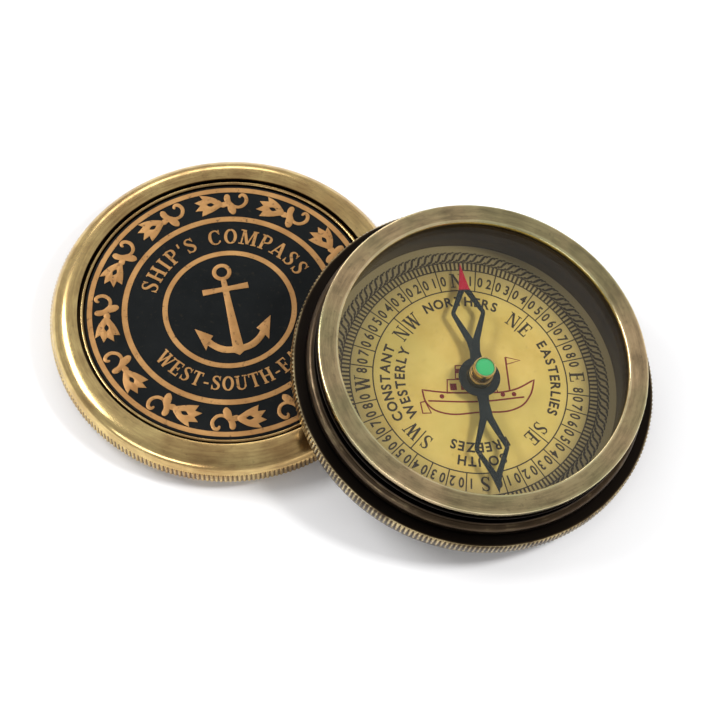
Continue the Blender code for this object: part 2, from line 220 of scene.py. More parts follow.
def seat(name, bm, place, material, body, nodes=(), crease=32):
    """Makes the finished piece, lets it ride on its body and hides the CAD nodes that it stands for."""
    bmesh.ops.transform(bm, matrix=place, verts=bm.verts)
    mesh = bpy.data.meshes.new(name)
    bm.to_mesh(mesh)
    bm.free()
    mesh.shade_smooth()
    mesh.set_sharp_from_angle(angle=math.radians(crease))
    mesh.materials.append(material)
    piece = bpy.data.objects.new(name, mesh)
    bpy.context.scene.collection.objects.link(piece)
    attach(piece, body)
    if nodes:
        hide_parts(*nodes)
    return piece


def new_group(name, outputs):
    """A shader node group from a vector to those values, and its two end nodes."""
    group = bpy.data.node_groups.new(name, "ShaderNodeTree")
    group.interface.new_socket(name="Vector", in_out="INPUT", socket_type="NodeSocketVector")
    for label in outputs:
        group.interface.new_socket(name=label, in_out="OUTPUT", socket_type="NodeSocketFloat")
    return group, group.nodes.new("NodeGroupInput"), group.nodes.new("NodeGroupOutput")


def tarnish_group():
    """Broad stains, clouds of tarnish a few millimetres across, small spots and fine grain, each 0 to 1."""
    group, given, result = new_group("tarnish", TARNISH_PATTERNS)
    for label, (scale, detail, rough, least, most) in TARNISH_PATTERNS.items():
        noise = add_node(group, "TexNoise", {"Vector": given.outputs[0], "Scale": scale, "Detail": detail,
                                             "Roughness": rough})
        group.links.new(spread(group, noise.outputs["Fac"], least, most), result.inputs[label])
    return group


def lathe_group():
    """Fine rings that the lathe tool left, and longer streaks of rubbing, about the vector's Z axis."""
    group, given, result = new_group("lathe_marks", ("Rings", "Streaks"))
    parts = add_node(group, "SeparateXYZ", {0: given.outputs[0]})
    flat = add_node(group, "CombineXYZ", {"X": parts.outputs["X"], "Y": parts.outputs["Y"]})
    out = add_node(group, "VectorMath", {0: flat.outputs[0]}, operation="LENGTH").outputs["Value"]
    way = add_node(group, "CombineXYZ", {"X": out, "Y": parts.outputs["Z"]})
    rings = add_node(group, "TexNoise", {"Vector": way.outputs[0], "Scale": 5200.0, "Detail": 2.0})
    group.links.new(rings.outputs["Fac"], result.inputs["Rings"])
    bearing = reckon(group, "ARCTAN2", parts.outputs["Y"], parts.outputs["X"])
    along = reckon(group, "MULTIPLY", bearing, STREAK_STRETCH)
    band = add_node(group, "CombineXYZ", {"X": out, "Y": parts.outputs["Z"], "Z": along})
    streaks = add_node(group, "TexNoise", {"Vector": band.outputs[0], "Scale": 1700.0, "Detail": 3.0,
                                           "Roughness": 0.65})
    group.links.new(spread(group, streaks.outputs["Fac"], 0.3, 0.7), result.inputs["Streaks"])
    return group


TARNISH = tarnish_group()
LATHE = lathe_group()


def local_vector(tree, place):
    """Object coordinates turned back into a piece's own axes."""
    coords = add_node(tree, "TexCoord")
    spot, twist, _ = place.decompose()
    mapping = add_node(tree, "Mapping", {"Vector": coords.outputs["Object"], "Location": spot,
                                         "Rotation": twist.to_euler()}, vector_type="TEXTURE")
    return mapping.outputs[0]


def mix_colour(tree, factor, first, second, blend="MIX"):
    """The colour between two colours, each a value or a socket."""
    first, second = ((*colour, 1) if isinstance(colour, tuple) else colour for colour in (first, second))
    node = add_node(tree, "Mix", {0: factor, 6: first, 7: second}, data_type="RGBA", blend_type=blend)
    return node.outputs[2]


def roughen(tree, shader, height, strength, distance):
    """Gives a shader a bump of that height."""
    bump = add_node(tree, "Bump", {"Height": height, "Strength": strength, "Distance": distance})
    tree.links.new(bump.outputs[0], shader.inputs["Normal"])


def aged_material(name, place, plain):
    """A new material, its shader, the vector in the piece's own axes, and the tarnish patterns over it."""
    material, shader = new_material(name, plain)
    vector = local_vector(material.node_tree, place)
    tarnish = add_node(material.node_tree, "Group", {0: vector}, node_tree=TARNISH)
    return material, shader, vector, tarnish.outputs


def clouded(name, place, first, second, plain, spots=None, grain=None):
    """A finish clouded from one colour to another, with spots of a third, and a grain as (strength,
    distance)."""
    material, shader, _, tarnish = aged_material(name, place, plain)
    tree = material.node_tree
    colour = mix_colour(tree, tarnish["Cloud"], first, second)
    if spots:
        colour = mix_colour(tree, tarnish["Spots"], colour, spots)
    tree.links.new(colour, shader.inputs["Base Color"])
    if grain:
        roughen(tree, shader, tarnish["Grain"], *grain)
    return material


def brass(name, place, dark, dull, bright, stain, smooth, rough, tool=0.25):
    """Turned brass: dark in recesses (patina and painted shade), dull and stained on flats, bright where worn
    or painted with a highlight.
    """
    material, shader, vector, tarnish = aged_material(name, place, {"Metallic": 1.0})
    tree = material.node_tree
    lathe = add_node(tree, "Group", {0: vector}, node_tree=LATHE).outputs
    # the profile's wear value: real wear and patina, with painted shade in recesses and painted highlights on
    # edges
    wear_and_light_input = add_node(tree, "Attribute", attribute_name="wear_and_light")
    rub = reckon(tree, "MULTIPLY_ADD", lathe["Streaks"], 0.8, tarnish["Cloud"])
    sway = reckon(tree, "ADD", rub, -0.9)
    uneven = reckon(tree, "MULTIPLY_ADD", sway, 0.6, 1.0)
    wear_and_light_level = reckon(tree, "MULTIPLY", uneven, wear_and_light_input.outputs["Fac"], use_clamp=True)
    colour = mix_colour(tree, spread(tree, wear_and_light_level, 0.0, 0.5), dark, dull)
    colour = mix_colour(tree, spread(tree, wear_and_light_level, 0.5, 1.0), colour, bright)
    colour = mix_colour(tree, reckon(tree, "MULTIPLY", tarnish["Stain"], 0.75), colour, stain, "MULTIPLY")
    colour = mix_colour(tree, reckon(tree, "MULTIPLY", tarnish["Spots"], 0.3), colour, dark)
    tree.links.new(colour, shader.inputs["Base Color"])
    gloss = spread(tree, wear_and_light_level, 0.0, 1.0, rough, smooth)
    tree.links.new(reckon(tree, "MULTIPLY_ADD", tarnish["Grain"], 0.05, gloss), shader.inputs["Roughness"])
    marks = reckon(tree, "MULTIPLY_ADD", tarnish["Cloud"], 0.4, lathe["Rings"])
    marks = reckon(tree, "MULTIPLY_ADD", lathe["Streaks"], 0.6, marks)
    roughen(tree, shader, marks, tool, 0.00002)
    return material


lid_brass = brass("lid_brass", LID_PLACE, (0.05, 0.032, 0.015), (0.46, 0.32, 0.140), (0.80, 0.62, 0.27),
                  (0.62, 0.50, 0.46), 0.10, 0.36, 0.16)
LID_PROFILE = [
    (0.0, 6.1, 0.4), (35.3, 6.1, 0.3), (35.6, 5.9, 0.2), (35.6, 3.3, 0.3), (35.8, 3.05, 0.6),
    (37.5, 3.0, 0.6), (38.0, 3.3, 0.9), (38.0, 5.8, 0.9), (37.75, 6.05, 0.9),
    *arc((33.6, 6.0), (4.05, 3.1), 4, 113, 22, 0.76), (31.98, 8.7, 0.6), (31.95, 8.4, 0.0),
    (31.95, 6.9, 0.0), (0.0, 6.8, 0.2),
]
lid_shell = turn(LID_PROFILE, LID_TEETH * STEPS_PER_TOOTH)
mill(lid_shell, LID_RADIUS, 3.2 * MM, 5.9 * MM, LID_TEETH, TOOTH_DEPTH)
seat("lid_shell_turned", lid_shell, LID_PLACE, lid_brass, "lid", ["lid_shell"])

# The lid's sleeve: thin drawn tube, soldered up into the shell, that slides over the bezel when the
# lid is on. Its open end is the lid's foot.
SLEEVE_PROFILE = [
    (34.5, 0.15, 0.5), (34.65, 0.0, 0.8), (35.15, 0.0, 0.8), (35.3, 0.15, 0.6), (35.3, 6.0, 0.3),
    (34.5, 6.0, 0.3),
]
seat("lid_sleeve_tube", turn(SLEEVE_PROFILE, FINE_STEPS), LID_PLACE, lid_brass, "lid",
     ["lid_sleeve"])

# The bead ring: brass wire bent to a ring and pressed in between the rim and the medallion, which it holds
# down. Only its rounded top shows, as a thin bright line.
BEAD_PROFILE = [
    (30.75, 7.0, 0.0), (31.45, 7.0, 0.0), (31.45, 8.0, 0.0),
    *arc((31.1, 8.15), (0.35, 0.35), 15, 165, 10, 0.62), (30.75, 8.0, 0.0),
]
seat("lid_bead_wire", turn(BEAD_PROFILE, FINE_STEPS), LID_PLACE, lid_brass, "lid",
     ["lid_bead_ring"])

# The medallion: a plate cut back and blacked, so that its design stands up in bare copper. The plate
# itself is the black ground, with the fine tooth of the blacking.
MEDALLION_TOP = 8.0  # mm above the table
MEDALLION_PROFILE = [
    (0.0, 7.0, 0), (30.5, 7.0, 0), (30.5, 7.9, 0), (30.4, MEDALLION_TOP, 0), (0.0, MEDALLION_TOP, 0),
]
black_ground = clouded("black_ground", LID_PLACE, (0.0040, 0.0052, 0.0056), (0.0075, 0.0088, 0.0092),
                       {"Roughness": 0.55, "Specular IOR Level": 0.08}, spots=(0.018, 0.016, 0.011),
                       grain=(0.35, 0.00006))
seat("medallion_ground", turn(MEDALLION_PROFILE, FINE_STEPS), LID_PLACE, black_ground, "lid",
     ["lid_medallion"])

# The medallion's raised design: three plain rings, a border of buds, the words and the anchor, all left
# standing a tenth of a millimetre above the ground. Its copper is brushed and spotted dark.
RELIEF = 0.11
RELIEF_EDGE = 0.025


def stamp(bm, mesh, place):
    """Adds a copy of the mesh to the bmesh, put in its place."""
    copy = mesh.copy()
    copy.transform(place)
    bm.from_mesh(copy)
    bpy.data.meshes.remove(copy)


def mesh_of(bm):
    """The bmesh as a mesh to stamp."""
    mesh = bpy.data.meshes.new("stamp")
    bm.to_mesh(mesh)
    bm.free()
    return mesh


def add_line(curve, points, closed=True):
    """A spline through the points: (x, y) is a corner, and (x, y, True) is passed smoothly."""
    spline = curve.splines.new("BEZIER")
    spline.bezier_points.add(len(points) - 1)
    for knot, point in zip(spline.bezier_points, points):
        knot.co = (point[0] * MM, point[1] * MM, 0.0)
        knot.handle_left_type = knot.handle_right_type = "AUTO" if len(point) == 3 else "VECTOR"
    spline.use_cyclic_u = closed


def mesh_from(curve):
    """The mesh that a curve or a letter makes."""
    holder = bpy.data.objects.new("outline", curve)
    mesh = bpy.data.meshes.new_from_object(holder)
    bpy.data.objects.remove(holder)
    return mesh


def cut_shape(outlines, thick, bevel=0.0):
    """A plate of that thickness, in mm, cut to closed outlines: the first is its edge and the others are
    holes."""
    curve = bpy.data.curves.new("outline", "CURVE")
    curve.dimensions = "2D"
    curve.fill_mode = "BOTH"
    curve.extrude = (thick / 2 - bevel) * MM
    curve.bevel_depth = bevel * MM
    curve.offset = -bevel * MM
    curve.bevel_resolution = 1
    curve.resolution_u = 6
    for points in outlines:
        add_line(curve, points)
    bm = bmesh.new()
    bm.from_mesh(mesh_from(curve))
    bmesh.ops.remove_doubles(bm, verts=bm.verts, dist=0.0002 * MM)
    bmesh.ops.recalc_face_normals(bm, faces=bm.faces)
    bmesh.ops.translate(bm, verts=bm.verts, vec=(0, 0, thick / 2 * MM))
    return mesh_of(bm)


def ribbon(line, widths):
    """The smooth outline of a stroke along a line of points, as wide at each point as the widths say."""
    left, right = [], []
    for i, (x, y) in enumerate(line):
        ahead = Vector(line[min(i + 1, len(line) - 1)]) - Vector(line[max(i - 1, 0)])
        side = Vector((-ahead.y, ahead.x)).normalized() * widths[i] / 2
        left.append((x + side.x, y + side.y, True))
        right.append((x - side.x, y - side.y, True))
    return left + right[::-1]


def circle(x, y, radius, points=16):
    """A round outline."""
    angles = [i * 2 * math.pi / points for i in range(points)]
    return [(x + radius * math.cos(angle), y + radius * math.sin(angle), True) for angle in angles]


def spoke(bearing, radius, height=0.0):
    """A place on a dial, facing out: the bearing is in degrees clockwise from the +Y axis, the rest in mm."""
    return Matrix.Rotation(-math.radians(bearing), 4, "Z") @ Matrix.Translation((0, radius * MM, height * MM))


GLYPHS = {}
THICK = 0.18
THIN = 0.085
S_BOW = ([(0.53, 0.80), (0.42, 0.93), (0.30, 0.955), (0.15, 0.88), (0.12, 0.74), (0.22, 0.60), (0.38, 0.48),
          (0.50, 0.34), (0.49, 0.17), (0.36, 0.05), (0.26, 0.045), (0.14, 0.09), (0.08, 0.22)],
         [0.05, 0.07, 0.08, 0.11, 0.15, 0.17, 0.18, 0.17, 0.14, 0.09, 0.08, 0.07, 0.05])
C_BOW = ([(0.66, 0.76), (0.55, 0.92), (0.38, 0.955), (0.20, 0.86), (0.11, 0.62), (0.11, 0.38), (0.20, 0.14),
          (0.38, 0.045), (0.55, 0.08), (0.68, 0.24)],
         [0.06, 0.08, 0.09, 0.13, 0.18, 0.18, 0.13, 0.09, 0.07, 0.05])
P_BOW = ([(0.16, 0.955), (0.40, 0.955), (0.55, 0.88), (0.58, 0.73), (0.54, 0.57), (0.38, 0.49),
          (0.16, 0.485)],
         [0.08, 0.08, 0.13, 0.17, 0.13, 0.08, 0.08])
U_BOW = ([(0.15, 0.34), (0.17, 0.16), (0.30, 0.05), (0.43, 0.045), (0.57, 0.13), (0.64, 0.34)],
         [0.18, 0.16, 0.11, 0.09, 0.085, 0.085])
ROUND_STEPS = [i * math.pi / 8 for i in range(17)]
ROUND_BOW = ([(0.38 + 0.29 * math.sin(a), 0.5 + 0.46 * math.cos(a)) for a in ROUND_STEPS],
             [0.08 + 0.10 * abs(math.sin(a)) for a in ROUND_STEPS])
SERIF_LETTERS = {  # a letter's width, its bars (from x, y to x, y, and how wide), its feet, and its bow
    "N": (0.84, ((0.14, 0, 0.14, 1, THIN), (0.16, 1, 0.68, 0, THICK), (0.70, 0, 0.70, 1, THIN)),
          ((0.14, 0), (0.12, 1), (0.70, 1)), None),
    "E": (0.70, ((0.17, 0, 0.17, 1, THICK), (0.17, 0.96, 0.60, 0.96, THIN), (0.17, 0.51, 0.47, 0.51, THIN),
                 (0.17, 0.04, 0.62, 0.04, THIN), (0.60, 1, 0.60, 0.76, 0.06), (0.48, 0.64, 0.48, 0.38, 0.06),
                 (0.63, 0, 0.63, 0.26, 0.06)), ((0.15, 0), (0.15, 1)), None),
    "W": (1.08, ((0.10, 1, 0.34, 0, THICK), (0.34, 0, 0.55, 0.9, THIN), (0.52, 1, 0.76, 0, THICK),
                 (0.76, 0, 0.98, 1, THIN)), ((0.10, 1), (0.52, 1), (0.98, 1)), None),
    "S": (0.62, ((0.54, 0.99, 0.54, 0.70, 0.05), (0.07, 0.01, 0.07, 0.32, 0.05)), (), S_BOW),
    "H": (0.82, ((0.16, 0, 0.16, 1, THICK), (0.66, 0, 0.66, 1, THICK), (0.16, 0.5, 0.66, 0.5, THIN)),
          ((0.16, 0), (0.66, 0), (0.16, 1), (0.66, 1)), None),
    "I": (0.34, ((0.17, 0, 0.17, 1, THICK),), ((0.17, 0), (0.17, 1)), None),
    "P": (0.68, ((0.17, 0, 0.17, 1, THICK),), ((0.17, 0), (0.14, 1)), P_BOW),
    "A": (0.80, ((0.09, 0, 0.38, 1, THIN), (0.40, 1, 0.68, 0, THICK), (0.18, 0.32, 0.60, 0.32, THIN)),
          ((0.10, 0), (0.68, 0)), None),
    "M": (1.02, ((0.14, 0, 0.14, 1, THIN), (0.17, 1, 0.50, 0.05, THICK), (0.50, 0.05, 0.80, 1, THIN),
                 (0.86, 0, 0.86, 1, THICK)), ((0.14, 0), (0.86, 0), (0.13, 1), (0.87, 1)), None),
    "T": (0.72, ((0.36, 0, 0.36, 1, THICK), (0.05, 0.96, 0.67, 0.96, THIN), (0.06, 1, 0.06, 0.76, 0.06),
                 (0.66, 1, 0.66, 0.76, 0.06)), ((0.36, 0),), None),
    "U": (0.80, ((0.15, 1, 0.15, 0.3, THICK), (0.64, 0.3, 0.64, 1, THIN)), ((0.15, 1), (0.64, 1)), U_BOW),
    "C": (0.74, ((0.67, 0.99, 0.67, 0.68, 0.06),), (), C_BOW),
    "O": (0.76, (), (), ROUND_BOW),
    "'": (0.20, ((0.12, 1, 0.08, 0.70, 0.11),), (), None),
    "-": (0.42, ((0.05, 0.36, 0.37, 0.36, 0.11),), (), None),
}
FOOT = (0.32, 0.07)


def serif_glyph(letter):
    """A letter with serifs, a unit high and centred on Y, built up of bars, feet and one swelling bow."""
    wide, bars, feet, bow = SERIF_LETTERS[letter]
    bm = bmesh.new()
    sheared = []
    for x0, y0, x1, y1, stroke in bars:
        upright = abs(y1 - y0) > 0.2 * abs(x1 - x0)
        across = (stroke, 0) if upright else (x1 - x0, y1 - y0)
        along = (x1 - x0, y1 - y0) if upright else (0, stroke)
        sheared.append((across, along, ((x0 + x1) / 2, (y0 + y1) / 2)))
    for x, y in feet:
        sheared.append(((FOOT[0], 0), (0, FOOT[1]), (x, FOOT[1] / 2 + y * (1 - FOOT[1]))))
    for step, (across, along, middle) in enumerate(sheared):
        matrix = Matrix(((across[0], along[0], 0, middle[0] - wide / 2), (across[1], along[1], 0, middle[1]),
                         (0, 0, 1 + 0.012 * step, 0), (0, 0, 0, 1)))
        bmesh.ops.create_cube(bm, size=1, matrix=matrix)
    if bow:
        stamp(bm, cut_shape([ribbon(*bow)], 1.0),
              Matrix.Translation((-wide / 2, 0, -0.505)) @ Matrix.Diagonal((1 / MM, 1 / MM, 1.005 / MM, 1)))
    bmesh.ops.recalc_face_normals(bm, faces=bm.faces)
    return mesh_of(bm), wide


def plain_letter(letter, weight):
    """A letter or figure without serifs, made heavier by the weight."""
    text = bpy.data.curves.new("letter", "FONT")
    text.body = letter
    text.offset = weight
    text.extrude = 0.5
    text.resolution_u = 4
    return mesh_from(text)


capital_heights = [v.co.y for v in plain_letter("H", 0.0).vertices]
CAP_HEIGHT = max(capital_heights) - min(capital_heights)


def glyph(letter, weight, serifs):
    """One letter a unit high, standing on the X axis and centred on Y, as a slab from z -0.5 to 0.5, and
    its width."""
    key = (letter, weight, serifs)
    if key not in GLYPHS and serifs:
        GLYPHS[key] = serif_glyph(letter)
    if key not in GLYPHS:
        mesh = plain_letter(letter, weight)
        xs = [v.co.x for v in mesh.vertices]
        mesh.transform(Matrix.Diagonal((1 / CAP_HEIGHT, 1 / CAP_HEIGHT, 1, 1))
                       @ Matrix.Translation((-(min(xs) + max(xs)) / 2, 0, 0)))
        bm = bmesh.new()
        bm.from_mesh(mesh)
        bmesh.ops.remove_doubles(bm, verts=bm.verts, dist=0.0001)
        GLYPHS[key] = (mesh_of(bm), (max(xs) - min(xs)) / CAP_HEIGHT)
    return GLYPHS[key]


def set_words(bm, words, height, radius, middle, thick, weight=0.0, serifs=False, gap=0.4, narrow=1.0,
              inward=False):
    """Letters of that height, set round a dial and centred on a bearing, their tops outward or inward.
    Sizes are in mm and angles in degrees."""
    widths = [glyph(c, weight, serifs)[1] * height * narrow if c != " " else height * 0.45 for c in words]
    along = -(sum(widths) + gap * (len(words) - 1)) / 2
    drop = Matrix.Translation((0, -height * MM / 2, thick / 2 * MM))
    size = Matrix.Diagonal((height * narrow * MM, height * MM, thick * MM, 1.0))
    for letter, wide in zip(words, widths):
        turn_by = math.degrees((along + wide / 2) / radius)
        along += wide + gap
        if letter == " ":
            continue
        place = spoke(middle - turn_by if inward else middle + turn_by, radius)
        if inward:
            place = place @ Matrix.Rotation(math.pi, 4, "Z")
        stamp(bm, glyph(letter, weight, serifs)[0], place @ drop @ size)


copper = clouded("brushed_copper", LID_PLACE, (0.34, 0.165, 0.052), (0.54, 0.295, 0.105),
                 {"Metallic": 0.55, "Roughness": 0.45}, spots=(0.06, 0.03, 0.015), grain=(0.3, 0.00004))

ANCHOR_LEAN = 31.2  # degrees anticlockwise
MEDALLION_PLACE = LID_PLACE @ Matrix.Translation((0, 0, MEDALLION_TOP * MM))
RELIEF_RINGS = ((28.9, 30.0), (21.5, 22.7), (13.05, 14.15))
rings = bmesh.new()
for inner, outer in RELIEF_RINGS:
    ring_profile = [
        (inner, -0.05, 0), (outer, -0.05, 0), (outer, RELIEF - RELIEF_EDGE, 0),
        (outer - RELIEF_EDGE, RELIEF, 0), (inner + RELIEF_EDGE, RELIEF, 0), (inner, RELIEF - RELIEF_EDGE, 0),
    ]
    stamp(rings, mesh_of(turn(ring_profile, FINE_STEPS)), Matrix())
seat("medallion_rings", rings, MEDALLION_PLACE, copper, "lid")

# The medallion's border: twelve buds, each with three petals and an almond eye, a pair of leaves and a stem
# that curls back. Leaves and stem stand a hair lower than the bud, so that no two faces lie level.
BUD = [
    (-0.1, 0.0, True), (-1.3, 1.35, True), (-3.1, 2.15, True), (-5.0, 2.45), (-4.3, 1.45), (-6.1, 0.75),
    (-4.9, 0.05), (-6.0, -1.35), (-4.4, -1.25), (-4.6, -2.6), (-2.7, -1.85, True), (-1.2, -1.0, True),
]
BUD_EYE = [(-1.8, 0.1), (-2.6, 0.55, True), (-3.6, 0.15), (-2.7, -0.35, True)]
LEAVES = [
    (0.5, 2.2, True), (1.3, 2.35, True), (1.75, 0.7, True), (2.6, -0.6, True), (2.3, -2.5, True),
    (1.5, -2.2, True), (0.9, -0.5, True),
]
STEM = ([(-0.4, -0.1), (1.5, -0.1), (3.2, -0.85), (4.6, -0.3), (5.1, 1.1), (4.3, 2.1), (3.6, 1.5)],
        [0.9, 0.75, 0.7, 0.75, 0.8, 0.75, 0.45])
BORDER_COUNT = 12
BORDER_START = -23.6
BORDER_RADIUS = 25.85
BORDER_GROW = Matrix.Diagonal((1.0, 1.04, 1, 1))
border = bmesh.new()
bud = cut_shape([BUD, BUD_EYE], RELIEF, RELIEF_EDGE)
leaves = cut_shape([LEAVES], RELIEF - 0.01, RELIEF_EDGE)
stem = cut_shape([ribbon(*STEM)], RELIEF - 0.02, RELIEF_EDGE)
for i in range(BORDER_COUNT):
    for shape in (bud, leaves, stem):
        stamp(border, shape, spoke(BORDER_START + i * 360 / BORDER_COUNT, BORDER_RADIUS) @ BORDER_GROW)
seat("medallion_border", border, MEDALLION_PLACE, copper, "lid")

words = bmesh.new()
WORDS_RADIUS = 17.75
WORDS_MIDDLE = -27.7
set_words(words, "SHIP'S COMPASS", 3.6, WORDS_RADIUS, WORDS_MIDDLE, RELIEF, serifs=True, gap=0.75)
set_words(words, "WEST-SOUTH-EAST", 3.3, WORDS_RADIUS, WORDS_MIDDLE + 180, RELIEF, serifs=True, gap=0.35,
          narrow=0.95, inward=True)
seat("medallion_words", words, MEDALLION_PLACE, copper, "lid")

# The anchor in the medallion's middle: ring, shank, stock, and arms with their flukes, left standing in
# copper like the border.
SHANK = [(-0.55, 7.4), (0.55, 7.4), (0.75, 0.0), (1.15, -9.9), (-1.15, -9.9), (-0.75, 0.0)]
STOCK = [
    (-4.9, 4.15), (-1.0, 4.3), (0.0, 4.05), (1.0, 4.3), (4.9, 4.15), (4.9, 5.55), (1.0, 5.4), (0.0, 5.6),
    (-1.0, 5.4), (-4.9, 5.55),
]
ARM = [
    (0.0, -11.3), (1.0, -10.55), (3.4, -10.0, True), (5.6, -8.3, True), (6.1, -7.7), (6.7, -8.8),
    (8.1, -3.3), (4.6, -5.7), (5.3, -6.4), (4.6, -7.3, True), (2.8, -8.6, True), (0.9, -9.1),
]
anchor = bmesh.new()
stamp(anchor, cut_shape([circle(0, 9.05, 2.05), circle(0, 9.05, 1.2)], RELIEF, RELIEF_EDGE), Matrix())
stamp(anchor, cut_shape([SHANK], RELIEF + 0.006, RELIEF_EDGE), Matrix())
stamp(anchor, cut_shape([STOCK], RELIEF + 0.012, RELIEF_EDGE), Matrix())
stamp(anchor, cut_shape([ARM + [(-x, *rest) for x, *rest in ARM[:0:-1]]], RELIEF, RELIEF_EDGE), Matrix())
ANCHOR_PLACE = MEDALLION_PLACE @ Matrix.Rotation(math.radians(ANCHOR_LEAN), 4, "Z")
seat("medallion_anchor", anchor, ANCHOR_PLACE, copper, "lid")

# The case's pan: a bowl turned from brass, with a domed back and a wide flange milled round its edge.
# It leans on the lid, so its axis comes from the joint that lifts it.
joints = {joint["name"]: joint for joint in frame["record"]["behaviour"]["joints"]}
case_way = Vector(joints["case_lift"]["axis"]).normalized()
CASE_LEAN = math.atan2(case_way.x, case_way.z)
PIVOT_HEIGHT = 8.65 * MM
PIVOT_OFFSET = 1.2 * MM
case_turn = Matrix.Rotation(CASE_LEAN, 4, "Y")
pivot_foot = Vector(joints["needle_spin"]["pos_m"]) - case_way * PIVOT_HEIGHT
PIVOT_PLACE = Matrix.Translation(pivot_foot) @ case_turn
CASE_PLACE = PIVOT_PLACE @ Matrix.Translation((-PIVOT_OFFSET, 0, 0))

# Its colours are very dark: the old brass's dark patina, with painted shade and painted dark reflection on
# the flange and in the grooves.
antique_brass = brass("antique_brass", CASE_PLACE, (0.012, 0.010, 0.009), (0.085, 0.060, 0.037),
                      (0.66, 0.54, 0.30), (0.70, 0.64, 0.58), 0.24, 0.34)
# The flange's top and the pan's inner walls carry 0: dark patina and painted shade.
PAN_PROFILE = [
    (0.0, 0.0, 0.45), (32.4, 0.0, 0.5), (33.0, 0.03, 0.7), (34.9, 0.62, 0.45), (36.5, 1.60, 0.45),
    (37.6, 2.90, 0.5), (37.75, 3.75, 0.6), (38.0, 4.05, 0.95), (38.0, 6.7, 0.95), (37.7, 7.0, 0.8),
    (37.3, 7.0, 0.05), (33.0, 7.0, 0.0), (33.0, 9.6, 0.0), (32.2, 9.6, 0.0), (32.2, 1.65, 0.1),
    (28.0, 1.65, 0.2), (28.0, 0.8, 0.1), (0.0, 0.8, 0.2),
]
CASE_RADIUS = 38.0 * MM
CASE_TEETH = 250
pan = turn(PAN_PROFILE, CASE_TEETH * STEPS_PER_TOOTH)
mill(pan, CASE_RADIUS, 3.95 * MM, 6.75 * MM, CASE_TEETH, 0.2 * MM, 0.7)
seat("base_pan_turned", pan, CASE_PLACE, antique_brass, "case", ["base_pan"])

# The neck ring: sits on the flange and carries the bezel. A rounded ridge at its foot stops the lid, and
# the groove above it, under the bezel, is painted near black as dark patina and painted shade.
NECK_PROFILE = [
    (33.3, 7.15, 0.0), (35.0, 7.15, 0.0), (35.4, 7.5, 0.25),
    *arc((34.25, 8.7), (1.15, 1.25), 0, 90, 8, 0.46), (34.1, 10.15, 0.25), (34.0, 10.3, 0.0),
    (33.1, 10.35, 0.0), (33.0, 10.5, 0.0), (33.0, 12.4, 0.0), (33.2, 12.5, 0.0), (34.0, 12.55, 0.0),
    (34.15, 12.7, 0.05), (34.15, 13.0, 0.05), (34.0, 13.12, 0.0), (32.2, 13.12, 0.0), (32.2, 9.9, 0.0),
    (33.3, 9.9, 0.0),
]
seat("neck_ring_turned", turn(NECK_PROFILE, FINE_STEPS), CASE_PLACE, antique_brass, "case",
     ["neck_ring"])

# The bezel: a heavy turned rim, nearly flat on top, undercut below and broken at both edges. Its edges are
# worn bright with painted highlights, its top is dull, and its undercut is painted dark as shade.
bezel_brass = brass("bezel_brass", CASE_PLACE, (0.035, 0.026, 0.018), (0.60, 0.435, 0.245),
                    (0.88, 0.70, 0.42), (0.60, 0.76, 0.68), 0.14, 0.24, 0.16)
BEZEL_PROFILE = [
    (32.2, 13.3, 0.0), (33.3, 13.3, 0.0), (34.0, 14.5, 0.0), (34.2, 14.75, 0.35), (34.2, 15.6, 0.45),
    *arc((33.85, 15.7), (0.35, 0.35), 8, 75, 4, 0.75), (33.6, 16.14, 0.42), (32.8, 16.24, 0.38),
    (31.9, 16.3, 0.42), (31.2, 16.27, 0.42), (30.7, 16.18, 0.5),
    *arc((30.5, 15.75), (0.4, 0.38), 88, 172, 5, 1.0), (30.1, 15.3, 0.4), (30.15, 15.0, 0.1),
    (32.2, 15.0, 0.0),
]
seat("bezel_turned", turn(BEZEL_PROFILE, FINE_STEPS), CASE_PLACE, bezel_brass, "case",
     ["bezel"])

# The glass: a flat disc with ground edges, held between the bezel and the snap ring. It is clear from
# above, mirrors more the lower one looks, and has a faint film of dust.
clear_glass, glass_shader, _, glass_tarnish = aged_material("clear_glass", CASE_PLACE, {
    "Base Color": (0.74, 0.73, 0.66, 1), "Metallic": 1.0, "Roughness": 0.03})
glass_tree = clear_glass.node_tree
glass_face = add_node(glass_tree, "NewGeometry")
glass_index = spread(glass_tree, glass_face.outputs["Backfacing"], 0.0, 1.0, 1.4, 0.714)
glass_fresnel = add_node(glass_tree, "Fresnel", {"IOR": glass_index})
glass_film = reckon(glass_tree, "MULTIPLY_ADD", glass_tarnish["Cloud"], 0.003, glass_fresnel.outputs[0],
                    use_clamp=True)
glass_tree.links.new(glass_film, glass_shader.inputs["Alpha"])
GLASS_PROFILE = [
    (0.0, 13.5, 0), (31.7, 13.5, 0), (31.9, 13.7, 0), (31.9, 14.5, 0), (31.7, 14.7, 0), (0.0, 14.7, 0),
]
seat("glass_window", turn(GLASS_PROFILE, FINE_STEPS), CASE_PLACE, clear_glass, "case",
     ["glass"])

# The liner: a thin tube, lacquered dark brown and pushed down inside the pan's wall. It stands on the
# card, which it holds, and keeps the glass off it.
liner_lacquer = clouded("liner_lacquer", CASE_PLACE, (0.055, 0.038, 0.030), (0.105, 0.072, 0.055),
                        {"Roughness": 0.2, "Metallic": 0.9})
LINER_PROFILE = [(31.2, 3.1, 0), (31.9, 3.1, 0), (31.9, 13.0, 0), (31.2, 13.0, 0)]
seat("liner_tube", turn(LINER_PROFILE, FINE_STEPS), CASE_PLACE, liner_lacquer, "case",
     ["spacer_sleeve"])

